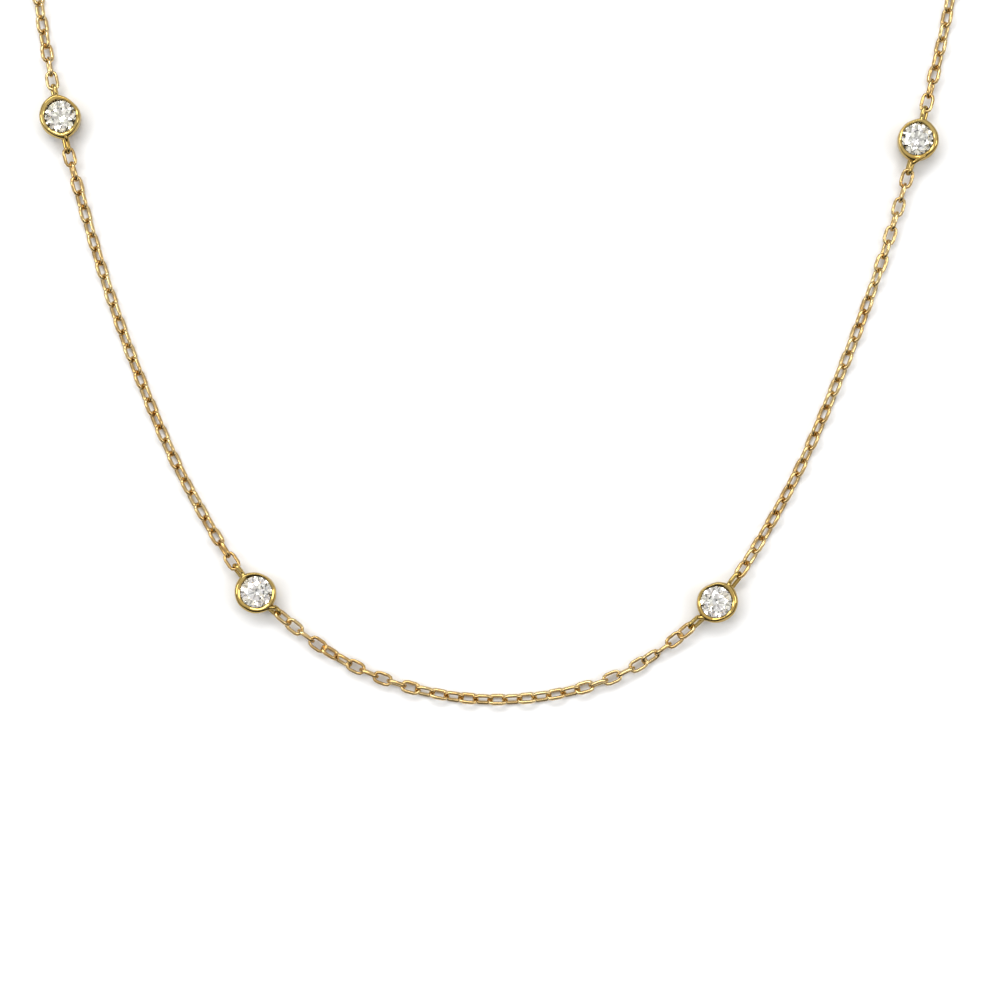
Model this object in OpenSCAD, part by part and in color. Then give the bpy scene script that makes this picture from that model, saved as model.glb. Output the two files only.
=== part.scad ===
// Diamond necklace: a fine cable chain with four round stones in rubbed-over settings,
// lying on a flat surface as a closed loop. Millimetres, +Z up, the clasp towards +Y.
// The origin is the centre of the loop's outline, on the surface.

/* [Chain] */
// Thickness of the chain's wire
wire_d = 0.29; // [0.24:0.01:0.30]
// Outer width of one link
link_w = 1.32; // [1.28:0.01:1.40]
// Length of the opening inside one link
link_open_l = 1.60; // [1.59:0.01:1.66]
// Links between the first and the second setting
links_left = 31; // [31:1:31]
// Links between the second and the third setting
links_front = 31; // [31:1:31]
// Links between the third and the fourth setting
links_right = 30; // [30:1:30]
// Links on each side between the last setting and the clasp
links_back = 73; // [73:1:74]

/* [Settings] */
// Outer diameter of a setting
bezel_d = 4.10; // [4.0:0.05:4.2]
// Height of a setting
bezel_h = 2.10; // [2.05:0.05:2.3]
// Diameter of the opening that shows the stone
lip_d = 3.06; // [3.0:0.02:3.1]
// Outer diameter of the flat foot
foot_d = 3.24; // [3.0:0.02:3.4]
// Radius of the rounded top edge
rim_r = 0.19; // [0.15:0.01:0.22]
// Height of the end links' axis above the surface
end_link_z = 1.10; // [1.0:0.05:1.2]
// Length of the solder shoulder past the setting's side
shoulder_l = 0.50; // [0.3:0.05:0.6]

/* [Stones] */
// Diameter of a stone at its girdle
stone_d = 3.20; // [3.1:0.01:3.2]
// Thickness of the girdle
girdle_t = 0.10; // [0.06:0.01:0.12]
// Width of the table as a share of the diameter
table_share = 0.57; // [0.53:0.01:0.60]
// Slope of the crown's main facets in degrees
crown_angle = 34.5; // [33:0.5:36]
// Slope of the pavilion's main facets in degrees
pavilion_angle = 40.75; // [40:0.25:41]
// Gap between a stone and its seat
seat_gap = 0.08; // [0.07:0.01:0.09]

/* [Clasp] */
// Mean radius of the clasp's ring
clasp_r = 2.05; // [2.0:0.05:2.2]
// Thickness of the clasp's ring
clasp_tube_d = 0.90; // [0.8:0.05:0.9]
// Mean radius of the eye that holds the chain
eye_r = 0.70; // [0.65:0.01:0.8]
// Thickness of the eye's wire
eye_wire_d = 0.40; // [0.35:0.01:0.45]
// Tilt of the clasp in degrees, its far side resting on the end ring
clasp_tilt = 11; // [11:0.5:12]
// Mean radius of the end ring
end_ring_r = 1.40; // [1.35:0.05:1.45]
// Thickness of the end ring's wire
end_ring_wire_d = 0.45; // [0.4:0.01:0.5]

/* [Hidden] */

gold = "goldenrod";
round_fn = 32;
wire_fn = 20;

// Way of the loop, seen from above, from the clasp round by the left side
route = [
  [0.6, 71.1],
  [-13.1, 68.6], [-25.5, 62.1], [-35.4, 52.6], [-42.4, 40.5], [-46.3, 26.7],
  [-47.3, 12.0], [-45.8, -2.5],
  [-43.5, -14.8],
  [-40.2, -27.3], [-36.1, -39.5], [-30.9, -51.5],
  [-23.9, -62.2],
  [-13.6, -70.0], [-1.0, -73.1], [11.8, -70.9],
  [22.1, -63.3],
  [29.1, -52.7], [34.3, -41.2], [38.7, -29.3],
  [42.2, -17.1],
  [45.5, -3.5], [47.3, 12.0], [46.4, 26.7], [42.7, 40.5], [35.9, 52.6],
  [26.4, 62.1], [14.0, 68.6]
];
// Places of the four settings in the route, in their order round the loop
setting_at = [8, 12, 16, 20];

// Sizes that follow from the driving ones
wire_r = wire_d / 2;
link_end_r = link_w / 2 - wire_r;
link_half_run = (link_open_l + wire_d) / 2 - link_end_r;
link_half_l = link_half_run + link_end_r;
clear = 0.15;
lift = 0.03;
fade_links = 5;
eye_let_in = 0.1;
eye_at = clasp_r + clasp_tube_d / 2 + eye_r - eye_let_in;
eye_far = eye_at + eye_r;
link_past_eye = link_half_l - (eye_wire_d / 2 + wire_r + clear);
ring_past_clasp = 0.3;
ring_at = clasp_r + ring_past_clasp;
ring_far = ring_at + end_ring_r;
link_past_ring = link_half_l - (end_ring_wire_d / 2 + wire_r + clear);
eye_z = link_w / 2;
clasp_z = clasp_tube_d / 2 + clasp_r * sin(clasp_tilt);
end_ring_roll = 50;
end_ring_z = end_ring_r * sin(end_ring_roll) + end_ring_wire_d / 2;
// The last link reaches its joint a little past the end ring, still climbing
ring_joint_rise = 0.07;
stud_turn = 115;
stud_d = 0.6;

stone_r = stone_d / 2;
crown_h = stone_r * (1 - table_share) * tan(crown_angle);
pavilion_h = stone_r * tan(pavilion_angle);
culet_z = 0.07;
girdle_low = culet_z + pavilion_h;
girdle_top = girdle_low + girdle_t;
seat_r = stone_r + seat_gap;
lower_tip_r = stone_r * 0.23;
lip_r = lip_d / 2;
bezel_r = bezel_d / 2;

// Section of a setting: the foot's flat ring, the side's two steps, the lip over the
// girdle and the floor under the stone
foot_w = 0.32;
side_low = [bezel_r - 0.09, 0.42];
side_high = [bezel_r, 0.8];
lip_heights = [0.17, 0.13, 0.05];
wall_in = 0.08;
floor_z = 0.3;

// End links and their solder shoulders, from the setting's side
end_link_let_in = 0.15;
end_link_step = 0.05;
shoulder_let_in = 0.26;
shoulder_flare = 0.62;
shoulder_tip_r = wire_r * 0.8;
shoulder_drop = 0.68;
shoulder_h = 0.46;
shoulder_steps = 5;

// Strands, in the route's order. Columns: number of links, then the distance of the
// first and of the last link's centre from the piece at that end
strands = [
  [links_back, eye_far + link_past_eye, 3.68],
  [links_left, 4.15, 3.84],
  [links_front, 3.78, 4.13],
  [links_right, 4.22, 4.01],
  [links_back, 3.85, ring_far + link_past_ring]
];
// Roll of each strand's links from flat, with the loop's inner side up, before every
// second link's quarter turn. Columns: number of the link, roll in degrees
rolls = [
  [[1, 0], [4, 40], [6, 45], [70, 45], [71, 50], [72, 64], [73, 78], [74, 62]],
  [[0, 66], [1, 80], [2, 66], [3, 52], [4, 45], [28, 45], [29, 50], [30, 64], [31, 78], [32, 66]],
  [[0, 52], [1, 36], [2, 18], [3, 5], [4, 10], [5, 27], [6, 44], [7, 61], [8, 78], [9, 86],
    [10, 76], [11, 62], [12, 48], [13, 45], [22, 45], [23, 58], [24, 74], [25, 88], [26, 90],
    [27, 76], [28, 60], [29, 44], [30, 34], [31, 42], [32, 52]],
  [[0, 52], [1, 45], [21, 45], [22, 42], [23, 30], [24, 22], [25, 15], [26, 9], [27, 4], [28, 0],
    [29, 0], [30, 10], [31, 18]],
  [[0, 62], [1, 78], [2, 64], [3, 50], [4, 45], [70, 45], [74, end_ring_roll]]
];

// Smooth closed curve through the route's points
curve_steps = 40;
function route_point(i) = route[(i + len(route)) % len(route)];
function between(a, b, c, d, t) =
  ((2 * b) + (c - a) * t + (2 * a - 5 * b + 4 * c - d) * t * t
    + (3 * b - a - 3 * c + d) * t * t * t) / 2;
curve = [
  for (i = [0:len(route) - 1])
    for (j = [0:curve_steps - 1])
      between(route_point(i - 1), route_point(i), route_point(i + 1), route_point(i + 2),
        j / curve_steps),
  route[0]
];
curve_arc = [
  for (
    i = 0, s = 0;
    i < len(curve);
    i = i + 1, s = i < len(curve) ? s + norm(curve[i] - curve[i - 1]) : s
  )
    s
];
loop_l = curve_arc[len(curve) - 1];
arc_x = [for (i = [0:len(curve) - 1]) [curve_arc[i], curve[i].x]];
arc_y = [for (i = [0:len(curve) - 1]) [curve_arc[i], curve[i].y]];
function on_route(s) = [lookup(s, arc_x), lookup(s, arc_y)];

// Ends of the strands along the route: the clasp, the four settings, the clasp again
anchors = [0, for (i = setting_at) curve_arc[i * curve_steps], loop_l];
end_heights = [
  eye_z, end_link_z, end_link_z, end_link_z, end_link_z, end_ring_z + ring_joint_rise
];

function pitch(k) =
  (anchors[k + 1] - anchors[k] - strands[k][1] - strands[k][2]) / (strands[k][0] - 1);
pitch_mean = pitch(2);
function roll_at(k, i) = lookup(i, rolls[k]);
function link_roll(k, i) = roll_at(k, i) + 90 * (i % 2);
// Height at which a pair of links with this roll lies on the surface
function lying_z(roll) = link_end_r * max(abs(sin(roll)), abs(cos(roll))) + wire_r + lift;
// Share of a strand's end height that is left j links along
function fade(j) = pow(max(0, 1 - j / fade_links), 2);
// Point where link j holds link j + 1
function joint_z(k, j) =
  let (low = lying_z(roll_at(k, j + 0.5)), n = strands[k][0])
    low + (end_heights[k] - low) * fade(j) + (end_heights[k + 1] - low) * fade(n - j);
function joint(k, j) =
  let (p = on_route(anchors[k] + strands[k][1] + (j - 0.5) * pitch(k)))
    [p.x, p.y, joint_z(k, j)];

// Half a turn of wire, open towards -X
module wire_bow(r, d) {
  rotate([0, 0, -90])
    rotate_extrude(angle = 180, $fn = round_fn)
      translate([r, 0])
        circle(d = d, $fn = wire_fn);
}

// A closed ring of wire
module wire_ring(r, d) {
  rotate_extrude($fn = round_fn)
    translate([r, 0])
      circle(d = d, $fn = wire_fn);
}

// One oval link, lying flat along X
module oval_link() {
  for (turn = [0, 180])
    rotate([0, 0, turn]) {
      translate([link_half_run, 0, 0])
        wire_bow(link_end_r, wire_d);
      translate([-link_half_run, link_end_r, 0])
        rotate([0, 90, 0])
          cylinder(d = wire_d, h = 2 * link_half_run, $fn = wire_fn);
    }
}

// Turns X to the line from a to b after a roll about X, and moves to the middle
module along(a, b, roll) {
  way = b - a;
  yaw = atan2(way.y, way.x);
  climb = atan2(way.z, norm([way.x, way.y]));
  translate((a + b) / 2)
    rotate([roll, -climb, yaw])
      children();
}

module strand(k) {
  color(gold)
    for (i = [1:strands[k][0]])
      along(joint(k, i - 1), joint(k, i), link_roll(k, i))
        oval_link();
}

// Cup of a setting: flat foot, straight side, rounded rim, bevel down to the stone
module bezel_cup() {
  rim_z = bezel_h - rim_r;
  rim_x = bezel_r - rim_r;
  wall = lip_r - wall_in;
  foot_open = foot_d / 2 - foot_w;
  side = [[foot_open, 0], [foot_d / 2, 0], side_low, side_high];
  rim = [for (a = [0:20:120]) [rim_x + rim_r * cos(a), rim_z + rim_r * sin(a)]];
  seat = [
    [lip_r, girdle_top + lip_heights[0]], [lip_r, girdle_top + lip_heights[1]],
    [seat_r, girdle_top + lip_heights[2]], [seat_r, girdle_low],
    [wall, girdle_low - (seat_r - wall) * tan(pavilion_angle)], [foot_open, floor_z]
  ];
  rotate_extrude($fn = 64)
    polygon(concat(side, rim, seat));
}

// Open end link, cut to the next whole step, its two strands let into the setting's wall
module end_link(reach) {
  root = bezel_r - end_link_let_in;
  run = ceil((reach - link_end_r) / end_link_step) * end_link_step;
  translate([run, 0, 0])
    wire_bow(link_end_r, wire_d);
  for (s = [-1, 1])
    translate([root, s * link_end_r, 0])
      rotate([0, 90, 0])
        cylinder(d = wire_d, h = run - root, $fn = wire_fn);
}

// Solder shoulder that draws the rim out to the end link's upper strand
module shoulder(side) {
  root = bezel_r - shoulder_let_in;
  edge = [
    for (i = [0:shoulder_steps])
      let (t = i / shoulder_steps)
        [
          root + t * (shoulder_l + shoulder_let_in),
          shoulder_tip_r + shoulder_flare * pow(1 - t, 2)
        ]
  ];
  back = [for (i = [shoulder_steps:-1:0]) [edge[i].x, -edge[i].y]];
  translate([0, side, bezel_h - shoulder_drop])
    linear_extrude(height = shoulder_h)
      polygon(concat(edge, back));
}

// End link and shoulder on the side of the setting that faces a strand's end
module solder_end(centre, target, roll) {
  way = target - centre;
  reach = norm([way.x, way.y]) + link_half_l - pitch_mean / 2;
  rotate([0, 0, atan2(way.y, way.x)]) {
    translate([0, 0, end_link_z])
      rotate([roll, 0, 0])
        end_link(reach);
    shoulder(link_end_r * cos(roll) * sign(sin(roll)));
  }
}

module setting(k) {
  centre = on_route(anchors[k]);
  last = strands[k - 1][0];
  color(gold)
    translate(centre) {
      bezel_cup();
      solder_end(centre, joint(k, 0), link_roll(k, 0));
      solder_end(centre, joint(k - 1, last), -link_roll(k - 1, last + 1));
    }
}

// Round brilliant: table, 8 stars, 8 kites, 16 upper and 16 lower girdle facets, 8 mains
module brilliant() {
  star_r = stone_r * (table_share * cos(22.5) + 1) / 2;
  star_z = (stone_r - star_r * cos(22.5)) * tan(crown_angle);
  lower_z = (stone_r - lower_tip_r * cos(22.5)) * tan(pavilion_angle);
  function ring(r, z, n, from) = [
    for (i = [0:n - 1])
      let (a = from + i * 360 / n)
        [r * cos(a), r * sin(a), z]
  ];
  points = concat(
    ring(stone_r * table_share, girdle_top + crown_h, 8, 0),
    ring(star_r, girdle_top + star_z, 8, 22.5),
    ring(stone_r, girdle_top, 16, 0),
    ring(stone_r, girdle_low, 16, 0),
    ring(lower_tip_r, girdle_low - lower_z, 8, 22.5),
    [[0, 0, girdle_low - pavilion_h]]
  );
  star = 8;
  upper = 16;
  lower = 32;
  belly = 48;
  culet = 56;
  faces = concat(
    [[for (i = [7:-1:0]) i]],
    [for (i = [0:7]) [i, (i + 1) % 8, star + i]],
    [for (i = [0:7]) [i, star + i, upper + 2 * i, star + (i + 7) % 8]],
    [for (i = [0:7]) [star + i, upper + 2 * i + 1, upper + 2 * i]],
    [for (i = [0:7]) [star + i, upper + (2 * i + 2) % 16, upper + 2 * i + 1]],
    [for (i = [0:15]) [upper + i, upper + (i + 1) % 16, lower + (i + 1) % 16, lower + i]],
    [for (i = [0:7]) [lower + 2 * i, lower + 2 * i + 1, belly + i]],
    [for (i = [0:7]) [lower + 2 * i + 1, lower + (2 * i + 2) % 16, belly + i]],
    [for (i = [0:7]) [lower + 2 * i, belly + i, culet, belly + (i + 7) % 8]]
  );
  polyhedron(points, faces);
}

module diamond(k, turn) {
  color("white")
    translate(on_route(anchors[k]))
      rotate([0, 0, turn])
        brilliant();
}

// Plain spring-ring clasp, one piece: the ring, its eye and its thumb stud
module clasp() {
  centre = on_route(0);
  first = joint(0, 0);
  way = [first.x, first.y] - centre;
  color(gold)
    translate(centre)
      rotate([0, 0, atan2(way.y, way.x)]) {
        translate([0, 0, clasp_z])
          rotate([0, clasp_tilt, 0]) {
            wire_ring(clasp_r, clasp_tube_d);
            rotate([0, 0, stud_turn])
              translate([clasp_r + clasp_tube_d / 2, 0, 0])
                sphere(d = stud_d, $fn = wire_fn);
          }
        translate([eye_at, 0, eye_z])
          wire_ring(eye_r, eye_wire_d);
      }
}

module end_ring() {
  centre = on_route(0);
  last = joint(4, links_back);
  way = centre - [last.x, last.y];
  place = centre - way / norm(way) * ring_at;
  color(gold)
    translate([place.x, place.y, end_ring_z])
      rotate([link_roll(4, links_back + 1), 0, atan2(way.y, way.x)])
        wire_ring(end_ring_r, end_ring_wire_d);
}

setting(1);  // setting_1
setting(2);  // setting_2
setting(3);  // setting_3
setting(4);  // setting_4
diamond(1, 8);  // diamond_1
diamond(2, 17);  // diamond_2
diamond(3, 31);  // diamond_3
diamond(4, 2);  // diamond_4
strand(0);  // chain_back_left
strand(1);  // chain_left
strand(2);  // chain_front
strand(3);  // chain_right
strand(4);  // chain_back_right
clasp();
end_ring();
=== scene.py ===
import math

import bpy
import numpy as np
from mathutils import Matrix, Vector


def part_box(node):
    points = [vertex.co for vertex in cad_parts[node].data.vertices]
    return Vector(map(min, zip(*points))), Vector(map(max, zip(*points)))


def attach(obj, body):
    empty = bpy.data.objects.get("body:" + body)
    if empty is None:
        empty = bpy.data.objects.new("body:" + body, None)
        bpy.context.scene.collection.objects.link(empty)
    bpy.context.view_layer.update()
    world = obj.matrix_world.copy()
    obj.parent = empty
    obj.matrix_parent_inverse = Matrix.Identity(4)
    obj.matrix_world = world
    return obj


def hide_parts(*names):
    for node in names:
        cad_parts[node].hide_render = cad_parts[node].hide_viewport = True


bl_info = {
    "name": "Diamond Necklace",
    "version": (1, 0, 0),
    "blender": (4, 5, 0),
    "location": "View3D > Sidebar > Necklace",
    "description": "Gold links, rubbed-over settings and cut stones for a fine chain necklace",
    "category": "Object",
}

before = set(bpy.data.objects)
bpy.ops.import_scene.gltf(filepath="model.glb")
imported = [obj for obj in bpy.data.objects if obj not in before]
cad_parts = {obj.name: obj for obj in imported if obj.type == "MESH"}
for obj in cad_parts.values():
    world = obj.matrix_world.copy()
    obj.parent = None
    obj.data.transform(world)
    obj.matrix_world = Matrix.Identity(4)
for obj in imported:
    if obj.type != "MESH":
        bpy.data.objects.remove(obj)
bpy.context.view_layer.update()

# All shapes are worked out in millimetres and put into the scene in metres
MM = 0.001

# The body that every piece rides on
BODY = "root"


def linear(colour):
    """The linear value of a colour that is written as an sRGB hex number."""
    s = np.array([int(colour[k:k + 2], 16) for k in (1, 3, 5)]) / 255
    low, high = s / 12.92, ((s + 0.055) / 1.055) ** 2.4
    return tuple(float(v) for v in np.where(s <= 0.04045, low, high))


# Strands of chain in the order of the loop, seen from above: down the left side, along the
# front and up the right side. Each table turns the links about the strand's own line: the
# number of a link, and its turn in degrees before every second link's quarter turn. The links
# between two rows turn in proportion
STRANDS = {
    "chain_back_left": [
        (1, 0), (4, 40), (6, 45), (67, 45), (70, 48), (71, 55), (72, 70), (73, 85), (74, 64),
    ],
    "chain_left": [
        (0, 66), (1, 85), (2, 65), (3, 50), (4, 45), (28, 45), (29, 50), (30, 66), (31, 85),
        (32, 66),
    ],
    "chain_front": [
        (0, 52), (1, 38), (2, 15), (3, 0), (4, 2), (5, 35), (6, 52), (7, 85), (8, 90), (9, 90),
        (10, 78), (11, 65), (12, 47), (13, 45), (22, 45), (23, 60), (24, 76), (25, 90), (27, 90),
        (28, 45), (29, 0), (30, 5), (31, 52), (32, 52),
    ],
    "chain_right": [
        (0, 52), (1, 45), (21, 45), (22, 42), (23, 26), (25, 20), (26, 10), (27, 3), (28, 0),
        (30, 0), (31, 14),
    ],
    "chain_back_right": [(0, 62), (1, 85), (2, 65), (3, 50), (4, 45), (70, 45), (74, 50)],
}

# Middle of the clasp, seen from above
CLASP_AT = (0.6, 71.1)

# Heights of the joints at the strands' ends, and over how many links they fade to the floor
EYE_Z = 0.66
END_LINK_Z = 1.10
END_RING_Z = 1.30
FADE_LINKS = 5

# Height of a setting, radius of its lip round the stone, and height of the stone's girdle
CUP_H = 2.10
LIP_R = 1.57
GIRDLE_Z = 1.448

# Each station as it lies, in mm and degrees. place: shift of the setting to +X and +Y. seat:
# shift of the stone, and of the crest round it, against the wall. drawn: how far the rim is
# drawn out to the end link before and after it. bumps: direction, depth and width of the
# outline's uneven stretches. crest: the same for stretches where only the rim's crest moves.
# follow: angle over which each end link's upper strand follows the rim. stone_turn: the
# stone's turn about its own axis
STATION_SHAPES = {
    "setting_1": dict(
        place=(0.12, -0.13), seat=(0.03, 0.08), drawn=(0.30, 0.16),
        bumps=[(140, 0.10, 34), (52, -0.09, 20)], crest=[(232, -0.12, 30)],
        follow=(0, -14), stone_turn=8),
    "setting_2": dict(
        place=(0.02, -0.17), seat=(0.06, 0.09), drawn=(0.16, 0.08),
        bumps=[(64, -0.07, 20), (165, 0.06, 25)], crest=[(245, -0.08, 30)],
        follow=(0, -42), stone_turn=17),
    "setting_3": dict(
        place=(0.08, -0.04), seat=(-0.11, 0.06), drawn=(0.08, 0.18),
        bumps=[(118, -0.07, 20), (302, -0.06, 30)], crest=[(296, -0.16, 34)],
        follow=(45, 0), stone_turn=31),
    "setting_4": dict(
        place=(0.01, -0.07), seat=(-0.09, 0.05), drawn=(0.16, 0.12),
        bumps=[(135, -0.05, 30), (225, 0.08, 25)], crest=[(298, -0.20, 24)],
        follow=(45, 0), stone_turn=2),
}

# What the settings' and the stones' numbers are added to, to start their chance draws
SETTING_SEED = 40
STONE_SEED = 60

# A facet is one of these: clear, faintly blue, faintly brown or faintly violet
# Painted fire: the tints stand in for the coloured flashes that a real diamond splits from white
# light
PAINTED_FIRE_TINTS = ["#FFFFFF", "#FFFFFF", "#F1F1FF", "#FFF4E6", "#F6F0FF"]


class ChainSizes(bpy.types.PropertyGroup):
    """Sizes and colours of the chain."""
    wire_d: bpy.props.FloatProperty(
        name="Wire", description="Thickness of the chain's wire", default=0.37 * MM, unit="LENGTH")
    link_w: bpy.props.FloatProperty(
        name="Link width", description="Outer width of one link", default=1.38 * MM, unit="LENGTH")
    flat: bpy.props.FloatProperty(
        name="Flat side", description="Height of the wire's flat side, as a share of its radius",
        default=0.80, subtype="FACTOR")
    gold: bpy.props.FloatVectorProperty(
        name="Gold", description="Colour of the chain's gold",
        size=3, subtype="COLOR", default=linear("#E4D5AA"))
    deep: bpy.props.FloatVectorProperty(
        name="Deep gold", description="Darker tint that the chain's gold turns to in places",
        size=3, subtype="COLOR", default=linear("#BC9048"))


class SettingSizes(bpy.types.PropertyGroup):
    """Sizes and colours of the settings."""
    bezel_d: bpy.props.FloatProperty(
        name="Setting", description="Outer diameter of a setting",
        default=4.10 * MM, unit="LENGTH")
    crest_d: bpy.props.FloatProperty(
        name="Crest", description="Diameter of the rim's highest line",
        default=3.60 * MM, unit="LENGTH")
    end_wire_d: bpy.props.FloatProperty(
        name="End wire", description="Thickness of the end links' wire",
        default=0.44 * MM, unit="LENGTH")
    burnish: bpy.props.FloatProperty(
        name="Burnish", description="Unevenness that the burnisher left on the rim",
        default=0.022 * MM, unit="LENGTH")
    gold: bpy.props.FloatVectorProperty(
        name="Gold", description="Colour of the settings' gold",
        size=3, subtype="COLOR", default=linear("#C8B881"))
    deep: bpy.props.FloatVectorProperty(
        name="Deep gold", description="Darker tint that the settings' gold turns to in places",
        size=3, subtype="COLOR", default=linear("#AC883E"))


class StoneSizes(bpy.types.PropertyGroup):
    """Size, cut and colour of the stones."""
    stone_d: bpy.props.FloatProperty(
        name="Stone", description="Diameter of a stone", default=3.20 * MM, unit="LENGTH")
    girdle: bpy.props.FloatProperty(
        name="Girdle", description="Thickness of the stone's edge",
        default=0.10 * MM, unit="LENGTH")
    table_share: bpy.props.FloatProperty(
        name="Table", description="Width of the table as a share of the stone's",
        default=0.57, subtype="FACTOR")
    crown: bpy.props.FloatProperty(
        name="Crown", description="Slope of the crown's main facets",
        default=math.radians(34.5), subtype="ANGLE")
    pavilion: bpy.props.FloatProperty(
        name="Pavilion", description="Slope of the pavilion's main facets",
        default=math.radians(40.75), subtype="ANGLE")
    colour: bpy.props.FloatVectorProperty(
        name="Colour", description="Colour of the stones",
        size=3, subtype="COLOR", default=linear("#FDFCEC"))


class ClaspSizes(bpy.types.PropertyGroup):
    """Sizes and tint of the clasp and the end ring."""
    clasp_d: bpy.props.FloatProperty(
        name="Clasp", description="Outer diameter of the clasp", default=5.0 * MM, unit="LENGTH")
    tube_d: bpy.props.FloatProperty(
        name="Tube", description="Thickness of the clasp's tube", default=0.9 * MM, unit="LENGTH")
    eye_d: bpy.props.FloatProperty(
        name="Eye", description="Outer diameter of the clasp's eye",
        default=1.8 * MM, unit="LENGTH")
    eye_wire_d: bpy.props.FloatProperty(
        name="Eye wire", description="Thickness of the eye's wire",
        default=0.4 * MM, unit="LENGTH")
    ring_d: bpy.props.FloatProperty(
        name="End ring", description="Outer diameter of the end ring",
        default=3.25 * MM, unit="LENGTH")
    ring_wire_d: bpy.props.FloatProperty(
        name="Ring wire", description="Thickness of the end ring's wire",
        default=0.45 * MM, unit="LENGTH")
    tilt: bpy.props.FloatProperty(
        name="Tilt", description="Slope of the clasp, whose far side the end ring lifts",
        default=math.radians(11), subtype="ANGLE")
    roll: bpy.props.FloatProperty(
        name="Roll", description="How steeply the end ring stands in the clasp",
        default=math.radians(50), subtype="ANGLE")
    deep: bpy.props.FloatVectorProperty(
        name="Deep gold", description="Darker tint that the clasp's gold turns to in places",
        size=3, subtype="COLOR", default=linear("#BF944C"))


class StageSizes(bpy.types.PropertyGroup):
    """Paper, lights and lens."""
    paper: bpy.props.FloatVectorProperty(
        name="Paper", description="Colour of the paper",
        size=3, subtype="COLOR", default=linear("#F6F6F6"))
    key_power: bpy.props.FloatProperty(
        name="Key light", description="Power of the large soft light", default=1.8, unit="POWER")
    lens: bpy.props.FloatProperty(
        name="Lens", description="Focal length in millimetres", default=100.0, unit="CAMERA")
    view_w: bpy.props.FloatProperty(
        name="View", description="Width of the picture where the necklace lies",
        default=100 * MM, unit="LENGTH")


def ramp(value, low, high):
    """Share of the way from low to high that a value has come, kept between 0 and 1."""
    return np.clip((value - low) / (high - low), 0, 1)


def unit(v):
    """Vectors along the last axis, made 1 long."""
    return v / np.linalg.norm(v, axis=-1, keepdims=True)


def grid_faces(rows, columns, wrap_rows=False):
    """Quads between neighbouring points of a grid numbered row by row. The columns join back
    to their start, and so do the rows where wrap_rows is true."""
    first = np.arange(rows if wrap_rows else rows - 1)
    i, j = np.meshgrid(first, np.arange(columns), indexing="ij")
    below = (i + 1) % rows
    right = (j + 1) % columns
    quads = [i * columns + j, i * columns + right, below * columns + right, below * columns + j]
    return np.stack(quads, axis=-1).reshape(-1, 4)


def make_piece(name, points, faces, material, smooth=True):
    """An object at the origin whose mesh has these points in millimetres and these faces."""
    mesh = bpy.data.meshes.new(name)
    mesh.from_pydata((points * MM).tolist(), [], faces)
    mesh.polygons.foreach_set("use_smooth", np.full(len(faces), smooth))
    mesh.materials.append(material)
    mesh.update()
    piece = bpy.data.objects.new(name, mesh)
    bpy.context.scene.collection.objects.link(piece)
    return piece


def stand_for(piece, node):
    """The piece rides on the body and hides the CAD node."""
    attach(piece, BODY)
    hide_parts(node)


def add_node(tree, kind, inputs=None, **settings):
    """Adds one node with its settings. An input is a value, or a socket that is linked to it."""
    node = tree.nodes.new(kind)
    for name, value in settings.items():
        setattr(node, name, value)
    for name, value in (inputs or {}).items():
        if isinstance(value, bpy.types.NodeSocket):
            tree.links.new(value, node.inputs[name])
        else:
            node.inputs[name].default_value = value
    return node


def new_material(name):
    """A material and its tree of nodes, which is empty."""
    material = bpy.data.materials.new(name)
    material.use_nodes = True
    tree = material.node_tree
    tree.nodes.clear()
    return material, tree


def polished_gold(name, gold, deep, grain, wear):
    """18 carat yellow gold, polished on a wheel. It mirrors the light in long clean streaks,
    turns orange brown where gold mirrors gold, and hairlines and soft dents break the streaks.
    grain is the size of the soft dents in mm, and wear their depth in mm."""
    material, tree = new_material(name)
    # Object coordinates are metres on the piece
    place = add_node(tree, "ShaderNodeTexCoord").outputs["Object"]
    # Slow change of tint from alloy and skin oils, 3 mm across
    tint = add_node(
        tree, "ShaderNodeTexNoise", {"Vector": place, "Scale": 1 / (3 * MM), "Detail": 2.0})
    colour = add_node(
        tree, "ShaderNodeMix", {0: tint.outputs["Fac"], 6: (*gold, 1), 7: (*deep, 1)},
        data_type="RGBA")
    # Hairlines from wear, drawn as fine grain 0.06 mm across, several times their real width
    hair = add_node(
        tree, "ShaderNodeTexNoise", {"Vector": place, "Scale": 1 / (0.06 * MM), "Detail": 3.0})
    rough = add_node(
        tree, "ShaderNodeMapRange",
        {"Value": hair.outputs["Fac"], "From Min": 0.3, "From Max": 0.7,
         "To Min": 0.03, "To Max": 0.10})
    dents = add_node(
        tree, "ShaderNodeTexNoise", {"Vector": place, "Scale": 1 / (grain * MM), "Detail": 1.5})
    soft = add_node(
        tree, "ShaderNodeBump",
        {"Height": dents.outputs["Fac"], "Strength": 1.0, "Distance": wear * MM})
    # The hairlines are about 0.001 mm deep
    fine = add_node(
        tree, "ShaderNodeBump",
        {"Height": hair.outputs["Fac"], "Strength": 1.0, "Distance": 0.0012 * MM,
         "Normal": soft.outputs["Normal"]})
    shader = add_node(
        tree, "ShaderNodeBsdfPrincipled",
        {"Base Color": colour.outputs[2], "Metallic": 1.0, "Roughness": rough.outputs["Result"],
         "Normal": fine.outputs["Normal"]})
    add_node(tree, "ShaderNodeOutputMaterial", {"Surface": shader.outputs[0]})
    return material


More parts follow.
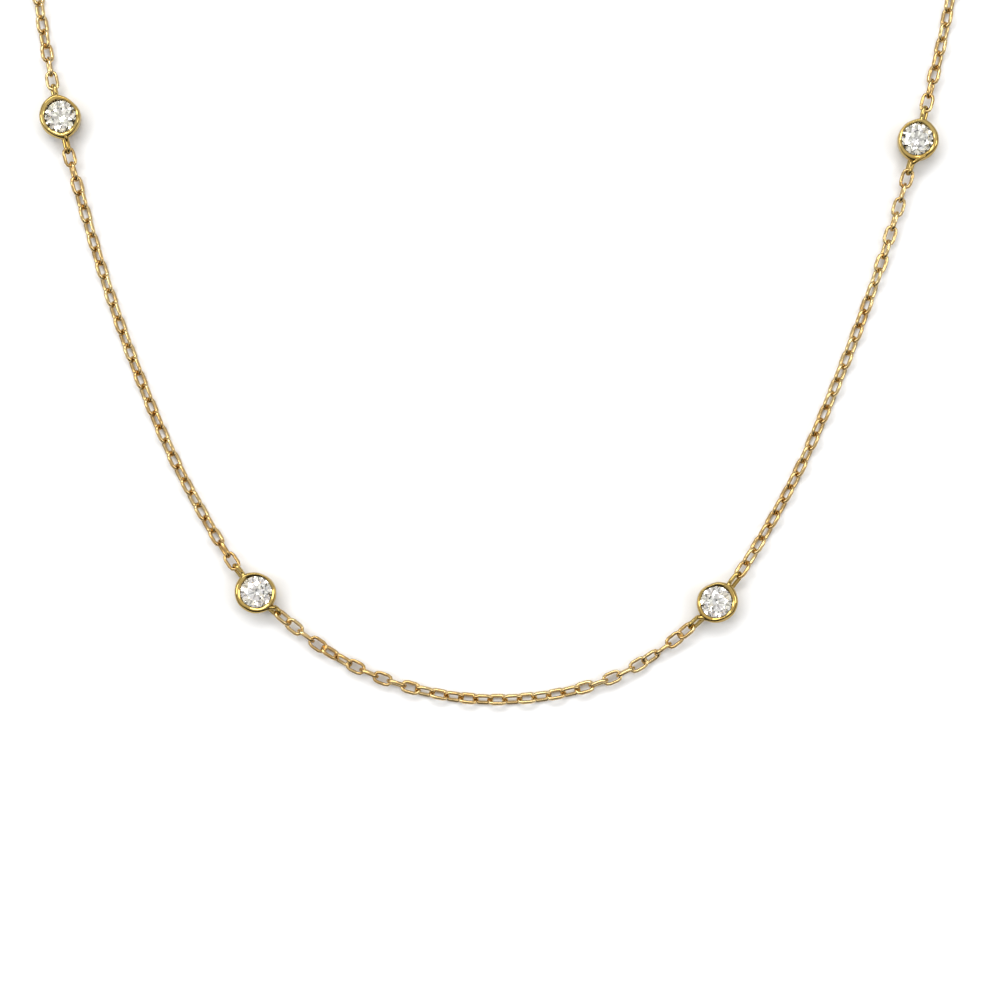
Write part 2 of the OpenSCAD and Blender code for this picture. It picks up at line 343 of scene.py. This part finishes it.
def cut_diamond(colour):
    """Diamond, cut and polished to flat facets. Its high index throws light back as white and dark
    patches. Each facet is also tinted a little blue, violet or brown: painted colour that stands in
    for the coloured flashes a real one splits from white light."""
    material, tree = new_material("diamond, polished facets")
    # Painted fire: each facet's stored tint colours the stone in place of coloured flashes of
    # dispersed light
    painted_fire = add_node(tree, "ShaderNodeAttribute", attribute_name="painted_fire")
    fire_tinted_colour = add_node(
        tree, "ShaderNodeMix", {0: 1.0, 6: (*colour, 1), 7: painted_fire.outputs["Color"]},
        data_type="RGBA", blend_type="MULTIPLY")
    shader = add_node(
        tree, "ShaderNodeBsdfPrincipled",
        {"Base Color": fire_tinted_colour.outputs[2], "Roughness": 0.0, "IOR": 2.417,
         "Transmission Weight": 1.0})
    add_node(tree, "ShaderNodeOutputMaterial", {"Surface": shader.outputs[0]})
    return material


def white_paper(colour):
    """Uncoated white paper, calendered. It is matt, with grain 0.4 mm across and a faint cloudy
    tone 60 mm across."""
    material, tree = new_material("uncoated white paper")
    place = add_node(tree, "ShaderNodeTexCoord").outputs["Object"]
    grain = add_node(
        tree, "ShaderNodeTexNoise", {"Vector": place, "Scale": 1 / (0.4 * MM), "Detail": 4.0})
    bump = add_node(
        tree, "ShaderNodeBump",
        {"Height": grain.outputs["Fac"], "Strength": 0.3, "Distance": 0.01 * MM})
    cloudy = add_node(
        tree, "ShaderNodeTexNoise", {"Vector": place, "Scale": 1 / (60 * MM), "Detail": 2.0})
    tone = add_node(
        tree, "ShaderNodeMapRange",
        {"Value": cloudy.outputs["Fac"], "To Min": 0.975, "To Max": 1.0})
    colour = add_node(
        tree, "ShaderNodeMix", {0: 1.0, 6: (*colour, 1), 7: tone.outputs["Result"]},
        data_type="RGBA", blend_type="MULTIPLY")
    shader = add_node(
        tree, "ShaderNodeBsdfPrincipled",
        {"Base Color": colour.outputs[2], "Roughness": 0.85, "Specular IOR Level": 0.2,
         "Normal": bump.outputs["Normal"]})
    add_node(tree, "ShaderNodeOutputMaterial", {"Surface": shader.outputs[0]})
    return material


def link_centres(node):
    """Centre of each link of a chain's CAD node, in the loop's order. Corners at one place
    count as one point. Each point takes the lowest number among the points that it shares a
    triangle with, then the number that this one has taken, until nothing changes. So a link's
    points end with one number."""
    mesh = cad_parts[node].data
    corners = np.empty(len(mesh.loops), np.int64)
    mesh.loops.foreach_get("vertex_index", corners)
    co = np.empty(len(mesh.vertices) * 3, np.float32)
    mesh.vertices.foreach_get("co", co)
    places, same = np.unique(np.round(co.reshape(-1, 3) / MM, 4), axis=0, return_inverse=True)
    corners = same.reshape(-1)[corners].reshape(-1, 3)
    label = np.arange(len(places))
    while True:
        lowest = label[corners].min(axis=1)
        new = label.copy()
        np.minimum.at(new, corners.ravel(), np.repeat(lowest, 3))
        new = new[new]
        if (new == label).all():
            break
        label = new
    _, group, count = np.unique(label, return_inverse=True, return_counts=True)
    sums = np.stack([np.bincount(group.reshape(-1), places[:, k]) for k in range(3)], axis=1)
    centres = sums / count[:, None]
    # Seen from above, the loop starts at its back, at the clasp, and runs anticlockwise
    turn = np.arctan2(centres[:, 1], centres[:, 0]) - math.pi / 2
    return centres[np.argsort(turn % (2 * math.pi))]


def strand_line(node, sizes):
    """Joints and turns of a strand's links. A joint lies half way between two centres, as high
    as the wider of the two crossed links needs, and rises to the end pieces as a parabola."""
    centres = link_centres(node)[:, :2]
    n = len(centres)
    middle = (centres[1:] + centres[:-1]) / 2
    first = centres[0] - (centres[1] - centres[0]) / 2
    last = centres[-1] + (centres[-1] - centres[-2]) / 2
    joints = np.vstack([first, middle, last])
    number, turn = np.array(STRANDS[node], float).T
    at_joint = np.radians(np.interp(np.arange(n + 1) + 0.5, number, turn))
    wire_r = sizes.wire_d / MM / 2
    bow_r = sizes.link_w / MM / 2 - wire_r
    low = bow_r * np.maximum(np.abs(np.sin(at_joint)), np.abs(np.cos(at_joint))) + wire_r
    start = EYE_Z if node == "chain_back_left" else END_LINK_Z
    end = END_RING_Z if node == "chain_back_right" else END_LINK_Z
    j = np.arange(n + 1)
    z = low + (start - low) * fade(j) + (end - low) * fade(n - j)
    count = np.arange(n + 2)
    turns = np.radians(np.interp(count, number, turn) + 90 * (count % 2))
    return np.column_stack([joints, z]), turns


def fade(j):
    """Share of an end's height that is left j links along: a parabola to the last of them."""
    return (1 - ramp(j, 0, FADE_LINKS)) ** 2


def oval_path(half_run, bow_r, steps):
    """Two half circles joined by straight sides: the points and the outward directions, both
    in the link's plane."""
    a = np.radians(np.linspace(-90, 90, steps + 1))
    out = np.column_stack([np.cos(a), np.sin(a)])
    out = np.vstack([out, -out])
    shift = np.repeat([half_run, -half_run], steps + 1)
    return out * bow_r + np.column_stack([shift, np.zeros(len(shift))]), out


def wire_section(wire_r, flat):
    """Six points round a wire whose outer side is pressed flat, as shares of its radius:
    outwards, then across. One half of them mirrors the other."""
    half = np.array([(flat, 0.66), (-0.05, 1.04), (-0.94, 0.52)])
    return wire_r * np.vstack([half * [1, -1], half[::-1]])


def strand_mesh(joints, turns, sizes, seed):
    """All links of a strand. Each link is the wire's section carried along an oval, laid from
    joint to joint so that neighbours touch, and turned about that line. Chance adds 1.6 degrees
    to the turns and 1.2% to the widths."""
    wire_d = sizes.wire_d / MM
    bow_r = sizes.link_w / MM / 2 - wire_d / 2
    way = joints[1:] - joints[:-1]
    pitch = np.linalg.norm(way, axis=1)
    along = way / pitch[:, None]
    left = unit(np.cross([0, 0, 1], along))
    up = np.cross(along, left)
    n = len(way)
    chance = np.random.default_rng(seed)
    turn = (turns[1:n + 1] + np.radians(chance.normal(0, 1.6, n)))[:, None]
    across = np.cos(turn) * left + np.sin(turn) * up
    normal = np.cross(along, across)
    half_run = (pitch.mean() + wire_d) / 2 - bow_r
    path, out = oval_path(half_run, bow_r, 5)
    section = wire_section(wire_d / 2, sizes.flat)
    flat = path[:, None, :] + out[:, None, :] * section[None, :, :1]
    thick = np.broadcast_to(section[None, :, 1:], (len(path), len(section), 1))
    local = np.concatenate([flat, thick], axis=2).reshape(-1, 3)
    width = chance.normal(1, 0.012, n)[:, None, None]
    points = (
        (joints[1:] + joints[:-1])[:, None, :] / 2
        + local[None, :, :1] * along[:, None, :]
        + local[None, :, 1:2] * width * across[:, None, :]
        + local[None, :, 2:] * normal[:, None, :])
    faces = grid_faces(len(path), len(section), wrap_rows=True)
    faces = (faces[None] + np.arange(n)[:, None, None] * len(local)).reshape(-1, 4)
    return points.reshape(-1, 3), faces


class NECKLACE_OT_chain(bpy.types.Operator):
    """Make the five strands of cable chain, link by link"""
    bl_idname = "necklace.chain"
    bl_label = "Chain"

    def execute(self, context):
        sizes = context.scene.necklace_chain
        gold = polished_gold(
            "polished 18 carat gold, drawn wire", sizes.gold, sizes.deep, grain=0.5, wear=0.012)
        for seed, node in enumerate(STRANDS):
            joints, turns = strand_line(node, sizes)
            points, faces = strand_mesh(joints, turns, sizes, seed)
            piece = make_piece(node + "_links", points, faces.tolist(), gold)
            stand_for(piece, node)
        return {"FINISHED"}


def ring_noise(angle, chance, lowest, highest):
    """Smooth unevenness round a ring, about 1 deep: cosines of whole numbers of waves with
    chance phases, shallower as they get shorter."""
    waves = np.arange(lowest, highest + 1)
    phase = chance.uniform(0, 2 * math.pi, len(waves))
    return (np.cos(angle[..., None] * waves + phase) / waves ** 0.7).sum(axis=-1) / 1.5


def cup_profile(bezel_r, crest_r):
    """Section of a setting, once round: flat foot, barrel side, a quarter ellipse over the rim
    to its crest, the bevel down to the stone, and the seat with the opening under it. Columns:
    distance from the axis, height."""
    hole_r = 1.30
    round_h = 0.40
    side = [
        (hole_r, 0), (1.60, 0), (1.66, 0.03), (1.80, 0.20), (1.93, 0.42), (2.0, 0.70),
        (bezel_r - 0.015, 1.1), (bezel_r, 1.5)]
    a = np.radians(np.linspace(0, 90, 11))[:, None]
    quarter = np.hstack([np.cos(a), np.sin(a)]) * [bezel_r - crest_r, round_h]
    outer = [crest_r, CUP_H - round_h] + quarter
    bevel = [
        (crest_r - 0.02, CUP_H - 0.003), (crest_r - 0.04, CUP_H - 0.010),
        (crest_r - 0.11, CUP_H - 0.037), (LIP_R + 0.04, CUP_H - 0.067),
        (LIP_R + 0.015, CUP_H - 0.09), (LIP_R, CUP_H - 0.15), (LIP_R, CUP_H - 0.22)]
    seat = [(LIP_R, CUP_H - 0.42), (1.62, 1.52), (1.62, 1.42), (1.45, 1.26), (hole_r, 0.3)]
    return np.vstack([side, outer, bevel, seat])


def cup_mesh(sizes, shape, ways, seed):
    """A setting's cup: its section turned round, with the rim drawn out to the end links as two
    bell curves, burnished unevenly, and the crest shifted with the stone. ways holds the end
    links' directions in radians."""
    bezel_r = sizes.bezel_d / MM / 2
    crest_r = sizes.crest_d / MM / 2
    burnish = sizes.burnish / MM
    profile = cup_profile(bezel_r, crest_r)
    angle = np.linspace(0, 2 * math.pi, 96, endpoint=False)[None, :]
    r, z = profile[:, :1], profile[:, 1:]
    # Shares of each change that a point of the section takes, by where it lies in the section
    outer = ramp(r, LIP_R - 0.2, bezel_r) * ramp(z, 0.2, 1.5)
    upper = ramp(z, 1.2, 1.7)
    inner = upper * ramp(bezel_r - r, 0, 0.4)
    crest = ramp(z, 1.5, 2.0)
    moved = ramp(bezel_r - r, 0, bezel_r - crest_r) * ramp(z, 0.8, 1.3)
    drawn = 0
    for way, reach in zip(ways, shape["drawn"]):
        drawn = drawn + bump(angle, way, reach, math.radians(24), 1.4)
    for way, depth, width in shape["bumps"]:
        drawn = drawn + bump(angle, math.radians(way), depth, math.radians(width), 2)
    for way, depth, width in shape["crest"]:
        drawn = drawn + crest * bump(angle, math.radians(way), depth, math.radians(width), 2)
    chance = np.random.default_rng(seed)
    r = r + drawn * outer + burnish * upper * ring_noise(angle, chance, 3, 11)
    r = r - burnish * inner * ring_noise(angle, chance, 5, 19)
    z = z + 0.8 * burnish * upper * ring_noise(angle, chance, 2, 9)
    x = r * np.cos(angle) + moved * shape["seat"][0]
    y = r * np.sin(angle) + moved * shape["seat"][1]
    faces = grid_faces(len(profile), angle.shape[1], wrap_rows=True).tolist()
    return np.stack([x, y, z], axis=-1).reshape(-1, 3), faces


def bump(angle, way, depth, width, power):
    """A bell curve round a ring, depth high at the direction way."""
    gap = (angle - way + math.pi) % (2 * math.pi) - math.pi
    return depth * np.exp(-(np.abs(gap) / width) ** power)


def tube_mesh(path, radius, across, sides=10):
    """A round wire along a path: circles square to the path, flat ends closed. across is a
    direction that the path never runs along, which sets how the circles are turned."""
    tangent = unit(np.gradient(path, axis=0))
    u = unit(np.cross(across, tangent))
    v = np.cross(tangent, u)
    a = np.linspace(0, 2 * math.pi, sides, endpoint=False)
    circle = np.cos(a)[None, :, None] * u[:, None, :] + np.sin(a)[None, :, None] * v[:, None, :]
    points = path[:, None, :] + radius[:, None, None] * circle
    faces = grid_faces(len(path), sides).tolist()
    last = (len(path) - 1) * sides
    faces.append(list(range(sides - 1, -1, -1)))
    faces.append(list(range(last, last + sides)))
    return points.reshape(-1, 3), faces


def bezier(a, b, c, d, steps):
    """A cubic curve from a to d that starts towards b and arrives from c, without its end."""
    t = np.linspace(0, 1, steps, endpoint=False)[:, None]
    return (1 - t) ** 3 * a + 3 * (1 - t) ** 2 * t * b + 3 * (1 - t) * t ** 2 * c + t ** 3 * d


def end_link(chain, sizes, seat, way, joint_r, turn, follow):
    """One end link as a wire: out of the rim on a cubic curve, along the upper side, round the
    bow and back along the lower side into the wall. It is a tenth thicker at both roots, where
    solder fills, and thins out from there as a bell curve. way is the link's direction and
    joint_r how far its joint lies from the setting's axis. Where follow isn't 0, the upper
    strand starts along the rim, that many degrees round from the link's direction."""
    wire_r = sizes.end_wire_d / MM / 2
    bow_r = chain.link_w / MM / 2 - wire_r
    ring_r = sizes.crest_d / MM / 2 + 0.04
    along = np.array([math.cos(way), math.sin(way), 0])
    left = np.array([-math.sin(way), math.cos(way), 0])
    up = np.array([0, 0, 1.0])
    across = math.cos(turn) * left + math.sin(turn) * up
    across = across if across[2] > 0 else -across
    axis = up * END_LINK_Z
    seat = np.array([*seat, 0])

    # The bow, a half circle round the joint from the upper side to the lower
    bow_at = joint_r + wire_r - bow_r
    a = np.radians(np.linspace(90, -90, 11))[:, None]
    bow = axis + (bow_at + bow_r * np.cos(a)) * along + bow_r * np.sin(a) * across

    # The upper strand's root in the rim, 0.10 mm under the crest, and where it heads from there
    rim = up * (CUP_H - wire_r - 0.10)
    if follow:
        start = math.radians(follow)
        rim_way = math.cos(start) * along + math.sin(start) * left
        rim_turn = math.cos(start) * left - math.sin(start) * along
        root = seat + rim_way * (ring_r - 0.06) + rim
        heading = up * 0.16 - math.copysign(0.75, follow) * rim_turn
    else:
        aside = left * (across @ left) * bow_r * 0.6
        root = seat * 0.5 + along * (ring_r - 0.04) + aside + rim
        heading = along * 0.35 + up * 0.10
    arrive = axis + (ring_r + 0.66) * along + bow_r * across
    rise = bezier(root, root + heading, arrive - along * 0.28 + up * 0.34, arrive, 9)

    # The lower strand runs straight back into the wall
    low_end = axis + (ring_r + 0.02) * along - bow_r * across
    back = bezier(bow[-1], bow[-1] - along * 0.1, low_end + along * 0.1, low_end, 7)[1:]
    path = np.vstack([rise, arrive[None], bow, back, low_end[None]])
    off_rim = np.clip(np.linalg.norm(path[:, :2], axis=1) - ring_r, 0, None)
    radius = wire_r * (1 + 0.10 * np.exp(-(off_rim / 0.35) ** 2))
    return tube_mesh(path, radius, np.cross(along, across))


def fused(name, shapes, material):
    """Shells that pass into each other, united into one closed skin. It is shaded smooth where
    its faces meet at less than 55 degrees, so the seams of the shells stay crisp."""
    pieces = [make_piece(f"{name}_{k}", *shape, material) for k, shape in enumerate(shapes)]
    body = pieces[0]
    for other in pieces[1:]:
        union = body.modifiers.new("union", "BOOLEAN")
        union.operation = "UNION"
        union.solver = "EXACT"
        union.object = other
    bpy.context.view_layer.update()
    graph = bpy.context.evaluated_depsgraph_get()
    mesh = bpy.data.meshes.new_from_object(body.evaluated_get(graph))
    for piece in pieces:
        bpy.data.objects.remove(piece)
    if not mesh.polygons:
        raise RuntimeError(f"{name}: its shells could not be united")
    mesh.name = name
    mesh.polygons.foreach_set("use_smooth", np.full(len(mesh.polygons), True))
    mesh.set_sharp_from_angle(angle=math.radians(55))
    piece = bpy.data.objects.new(name, mesh)
    bpy.context.scene.collection.objects.link(piece)
    return piece


def station_centre(station):
    """Middle of a station as it lies: that of its stone's box in the CAD, plus its shift."""
    low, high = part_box(station.replace("setting", "diamond"))
    middle = np.array([low.x + high.x, low.y + high.y]) / 2 / MM
    return middle + STATION_SHAPES[station]["place"]


class NECKLACE_OT_settings(bpy.types.Operator):
    """Make the four rubbed-over settings with their soldered end links"""
    bl_idname = "necklace.settings"
    bl_label = "Settings"

    def execute(self, context):
        chain = context.scene.necklace_chain
        sizes = context.scene.necklace_setting
        gold = polished_gold(
            "polished 18 carat gold, burnished sheet", sizes.gold, sizes.deep,
            grain=0.7, wear=0.02)
        lines = [strand_line(node, chain) for node in STRANDS]
        for k, (station, shape) in enumerate(STATION_SHAPES.items()):
            centre = station_centre(station)
            # The joints and turns of the two end links. The first runs against the strand's way
            (before, turns_before), (after, turns_after) = lines[k], lines[k + 1]
            ends = [(before[-1], -turns_before[-1]), (after[0], turns_after[0])]
            ways = []
            links = []
            for (joint, turn), follow in zip(ends, shape["follow"]):
                gap = joint[:2] - centre
                way = math.atan2(gap[1], gap[0])
                reach = np.linalg.norm(gap)
                links.append(end_link(chain, sizes, shape["seat"], way, reach, turn, follow))
                ways.append(way)
            shapes = [cup_mesh(sizes, shape, ways, SETTING_SEED + k)] + links
            shapes = [(points + [*centre, 0], faces) for points, faces in shapes]
            piece = fused(station + "_gold", shapes, gold)
            stand_for(piece, station)
        return {"FINISHED"}


def brilliant_mesh(sizes):
    """A round brilliant. The points lie on five rings and the culet: table, star tips, upper and
    lower girdle, lower tips. Heights come from the slopes of the main facets."""
    crown = math.tan(sizes.crown)
    pavilion = math.tan(sizes.pavilion)
    half = math.cos(math.pi / 8)
    stone_r = sizes.stone_d / MM / 2
    girdle_low = GIRDLE_Z
    girdle_top = girdle_low + sizes.girdle / MM
    table_r = stone_r * sizes.table_share
    star_r = stone_r * (sizes.table_share * half + 1) / 2
    # The lower girdle facets reach 77% of the way in to the culet
    tip_r = stone_r * 0.23

    def ring(r, z, n, start):
        a = math.radians(start) + np.arange(n) * 2 * math.pi / n
        return np.column_stack([r * np.cos(a), r * np.sin(a), np.full(n, z)])

    points = np.vstack([
        ring(table_r, girdle_top + stone_r * (1 - sizes.table_share) * crown, 8, 0),
        ring(star_r, girdle_top + (stone_r - star_r * half) * crown, 8, 22.5),
        ring(stone_r, girdle_top, 16, 0),
        ring(stone_r, girdle_low, 16, 0),
        ring(tip_r, girdle_low - (stone_r - tip_r * half) * pavilion, 8, 22.5),
        [[0, 0, girdle_low - stone_r * pavilion]]])
    # Where each ring starts in the list of points, after the table's at 0
    star, upper, lower, belly, culet = 8, 16, 32, 48, 56
    k8, k16 = range(8), range(16)
    faces = [list(k8)]
    faces += [[i, star + i, (i + 1) % 8] for i in k8]
    faces += [[i, star + (i + 7) % 8, upper + 2 * i, star + i] for i in k8]
    faces += [[star + i, upper + 2 * i, upper + 2 * i + 1] for i in k8]
    faces += [[star + i, upper + 2 * i + 1, upper + (2 * i + 2) % 16] for i in k8]
    faces += [[upper + i, lower + i, lower + (i + 1) % 16, upper + (i + 1) % 16] for i in k16]
    faces += [[belly + i, lower + 2 * i + 1, lower + 2 * i] for i in k8]
    faces += [[belly + i, lower + (2 * i + 2) % 16, lower + 2 * i + 1] for i in k8]
    faces += [[belly + (i + 7) % 8, culet, belly + i, lower + 2 * i] for i in k8]
    return points, faces


class NECKLACE_OT_stones(bpy.types.Operator):
    """Make the four round brilliants"""
    bl_idname = "necklace.stones"
    bl_label = "Stones"

    def execute(self, context):
        sizes = context.scene.necklace_stone
        material = cut_diamond(sizes.colour)
        painted_fire_tints = np.array([linear(c) for c in PAINTED_FIRE_TINTS])
        points, faces = brilliant_mesh(sizes)
        for k, (station, shape) in enumerate(STATION_SHAPES.items()):
            node = station.replace("setting", "diamond")
            turn = math.radians(shape["stone_turn"])
            cos, sin = math.cos(turn), math.sin(turn)
            spin = np.array([[cos, sin, 0], [-sin, cos, 0], [0, 0, 1]])
            placed = points @ spin + [*shape["seat"], 0] + [*station_centre(station), 0]
            piece = make_piece(node + "_stone", placed, faces, material, smooth=False)
            # Painted fire: each facet takes one tint at random, standing in for coloured flashes of
            # dispersed light
            painted_fire = piece.data.attributes.new("painted_fire", "FLOAT_COLOR", "FACE")
            chance = np.random.default_rng(STONE_SEED + k)
            tint = painted_fire_tints[chance.integers(0, len(painted_fire_tints), len(faces))]
            painted_fire.data.foreach_set("color", np.column_stack([tint, np.ones(len(faces))]).ravel())
            stand_for(piece, node)
        return {"FINISHED"}


def torus_mesh(centre, u, v, ring_r, wire_r, steps, sides):
    """A ring of round wire: a circle in the plane of u and v, with circles of wire square to it."""
    a = np.linspace(0, 2 * math.pi, steps, endpoint=False)[:, None, None]
    b = np.linspace(0, -2 * math.pi, sides, endpoint=False)[None, :, None]
    out = np.cos(a) * u + np.sin(a) * v
    points = centre + (ring_r + wire_r * np.cos(b)) * out + wire_r * np.sin(b) * np.cross(u, v)
    return points.reshape(-1, 3), grid_faces(steps, sides, wrap_rows=True).tolist()


class NECKLACE_OT_clasp(bpy.types.Operator):
    """Make the plain spring-ring clasp and the ring that it closes on"""
    bl_idname = "necklace.clasp"
    bl_label = "Clasp"

    def execute(self, context):
        chain = context.scene.necklace_chain
        sizes = context.scene.necklace_clasp
        gold = polished_gold(
            "polished 18 carat gold, drawn tube", chain.gold, sizes.deep, grain=0.8, wear=0.008)
        up = np.array([0, 0, 1.0])
        middle = np.array([*CLASP_AT, 0])

        # The clasp leans down to its eye, which lies 1.05 mm outside the middle of its tube
        first = strand_line("chain_back_left", chain)[0][0] * [1, 1, 0]
        along = unit(first - middle)
        left = np.cross(up, along)
        down = math.cos(sizes.tilt) * along - math.sin(sizes.tilt) * up
        tube_r = sizes.tube_d / MM / 2
        clasp_r = sizes.clasp_d / MM / 2 - tube_r
        clasp_at = middle + up * (tube_r + clasp_r * math.sin(sizes.tilt))
        body = torus_mesh(clasp_at, down, left, clasp_r, tube_r, 64, 18)
        wire_r = sizes.eye_wire_d / MM / 2
        eye_at = middle + along * (clasp_r + 1.05) + up * EYE_Z
        eye = torus_mesh(eye_at, along, left, sizes.eye_d / MM / 2 - wire_r, wire_r, 40, 12)

        # The thumb stud, a small ball half sunk in the tube's outer side. Its ends stay open by
        # a little of their turn, so no circle of it shrinks to a point
        stud_way = math.radians(115)
        stud_r = 0.3
        out = math.cos(stud_way) * down + math.sin(stud_way) * left
        turn = np.linspace(0.06, 0.94, 9) * math.pi
        path = clasp_at + out * (clasp_r + tube_r - stud_r * np.cos(turn[:, None]))
        stud = tube_mesh(path, stud_r * np.sin(turn), up, sides=16)
        clasp = fused("clasp_gold", [body, eye, stud], gold)
        stand_for(clasp, "clasp")

        # The end ring stands in the clasp, 0.30 mm outside the middle of its tube
        last = strand_line("chain_back_right", chain)[0][-1] * [1, 1, 0]
        along = unit(middle - last)
        across = math.cos(sizes.roll) * np.cross(up, along) + math.sin(sizes.roll) * up
        wire_r = sizes.ring_wire_d / MM / 2
        ring_r = sizes.ring_d / MM / 2 - wire_r
        ring_at = middle - along * (clasp_r + 0.30) + up * (ring_r * math.sin(sizes.roll) + wire_r)
        shape = torus_mesh(ring_at, along, across, ring_r, wire_r, 56, 12)
        ring = make_piece("end_ring_gold", *shape, gold)
        stand_for(ring, "end_ring")
        return {"FINISHED"}


class NECKLACE_OT_stage(bpy.types.Operator):
    """Make the paper, the soft lights and the camera"""
    bl_idname = "necklace.stage"
    bl_label = "Stage"

    def execute(self, context):
        stage = context.scene.necklace_stage
        # A sheet 4 m across, so that no view shows its edge
        corners = 2000.0 * np.array([(-1, -1, 0), (1, -1, 0), (1, 1, 0), (-1, 1, 0)])
        floor = make_piece("paper", corners, [[0, 1, 2, 3]], white_paper(stage.paper))

        # Round the picture's middle: a wide soft light to the north, and two to the sides that
        # have about half its power
        target = np.array([0.5, -53.1, 0])
        add_softbox("north_light", target, (-120, 440, 540), (640, 170), stage.key_power)
        add_softbox("west_light", target, (-540, 40, 520), (200, 400), stage.key_power * 0.52)
        add_softbox("east_light", target, (540, 20, 520), (200, 400), stage.key_power * 0.46)
        add_world()

        camera = bpy.data.cameras.new("camera")
        camera.lens = stage.lens
        camera.sensor_width = 36
        camera.clip_start = 0.01
        camera.clip_end = 10
        # Straight above, as high as the lens needs for the view's width 1 mm over the paper
        holder = bpy.data.objects.new("camera", camera)
        height = stage.view_w * stage.lens / camera.sensor_width + MM
        holder.location = (target[0] * MM, target[1] * MM, height)
        context.scene.collection.objects.link(holder)
        context.scene.camera = holder
        # The plain curve, a little darker in the middle tones as a camera's picture is
        context.scene.view_settings.view_transform = "Standard"
        context.scene.view_settings.exposure = 0.04
        context.scene.view_settings.gamma = 0.88
        return {"FINISHED"}


def add_softbox(name, target, offset, size, power):
    """A soft light of this size in mm, at an offset from the target, facing it."""
    light = bpy.data.lights.new(name, "AREA")
    light.shape = "RECTANGLE"
    light.size, light.size_y = size[0] * MM, size[1] * MM
    light.energy = power
    holder = bpy.data.objects.new(name, light)
    holder.location = (target + offset) * MM
    holder.rotation_euler = Vector(offset).to_track_quat("Z", "Y").to_euler()
    bpy.context.scene.collection.objects.link(holder)


def add_world():
    """A light room: paler to the north, dimmer towards the horizon, dark where the photographer
    stands in the south, and dim straight above where the camera hangs."""
    world = bpy.data.worlds.new("room")
    bpy.context.scene.world = world
    world.use_nodes = True
    tree = world.node_tree
    tree.nodes.clear()
    way = add_node(tree, "ShaderNodeTexCoord").outputs["Generated"]
    glow = 1.0
    # Each row shades the room by how near a direction is to one way: the way, two cosines of
    # the angle between them, and the share of light at each. The rows are the pale north, the
    # sky from the horizon up, the camera and the photographer
    for towards, low, high, at_low, at_high in (
            ((-0.10, 0.62, 0.78), -0.2, 0.9, 0.52, 1.03),
            ((0, 0, 1), 0.05, 0.82, 0.06, 1.30),
            ((0, 0, 1), 0.95, 0.98, 1.0, 0.5),
            ((0, -0.93, 0.37), 0.73, 0.88, 1.0, 0.12)):
        facing = add_node(
            tree, "ShaderNodeVectorMath", {0: way, 1: towards}, operation="DOT_PRODUCT")
        part = add_node(
            tree, "ShaderNodeMapRange",
            {"Value": facing.outputs["Value"], "From Min": low, "From Max": high,
             "To Min": at_low, "To Max": at_high})
        glow = add_node(
            tree, "ShaderNodeMath", {0: glow, 1: part.outputs[0]}, operation="MULTIPLY").outputs[0]
    back = add_node(tree, "ShaderNodeBackground", {"Color": (1, 1, 1, 1), "Strength": glow})
    add_node(tree, "ShaderNodeOutputWorld", {"Surface": back.outputs[0]})


class NECKLACE_PT_panel(bpy.types.Panel):
    """Sizes, colours and the steps that make the necklace"""
    bl_label = "Diamond Necklace"
    bl_space_type = "VIEW_3D"
    bl_region_type = "UI"
    bl_category = "Necklace"

    def draw(self, context):
        for group in GROUPS:
            box = self.layout.box()
            values = getattr(context.scene, group)
            for name in values.bl_rna.properties.keys():
                if name not in ("rna_type", "name"):
                    box.prop(values, name)
        for step in STEPS:
            self.layout.operator(step.bl_idname)


GROUPS = {
    "necklace_chain": ChainSizes,
    "necklace_setting": SettingSizes,
    "necklace_stone": StoneSizes,
    "necklace_clasp": ClaspSizes,
    "necklace_stage": StageSizes,
}
STEPS = [
    NECKLACE_OT_chain, NECKLACE_OT_settings, NECKLACE_OT_stones, NECKLACE_OT_clasp,
    NECKLACE_OT_stage,
]


def register():
    """Registers the classes and hangs the sizes on the scene."""
    for kind in [*GROUPS.values(), *STEPS, NECKLACE_PT_panel]:
        bpy.utils.register_class(kind)
    for name, kind in GROUPS.items():
        setattr(bpy.types.Scene, name, bpy.props.PointerProperty(type=kind))


def unregister():
    """Takes all of it out again."""
    for name in GROUPS:
        delattr(bpy.types.Scene, name)
    for kind in reversed([*GROUPS.values(), *STEPS, NECKLACE_PT_panel]):
        bpy.utils.unregister_class(kind)


def main():
    register()
    bpy.ops.necklace.chain()
    bpy.ops.necklace.settings()
    bpy.ops.necklace.stones()
    bpy.ops.necklace.clasp()
    bpy.ops.necklace.stage()


if __name__ == "__main__":
    main()
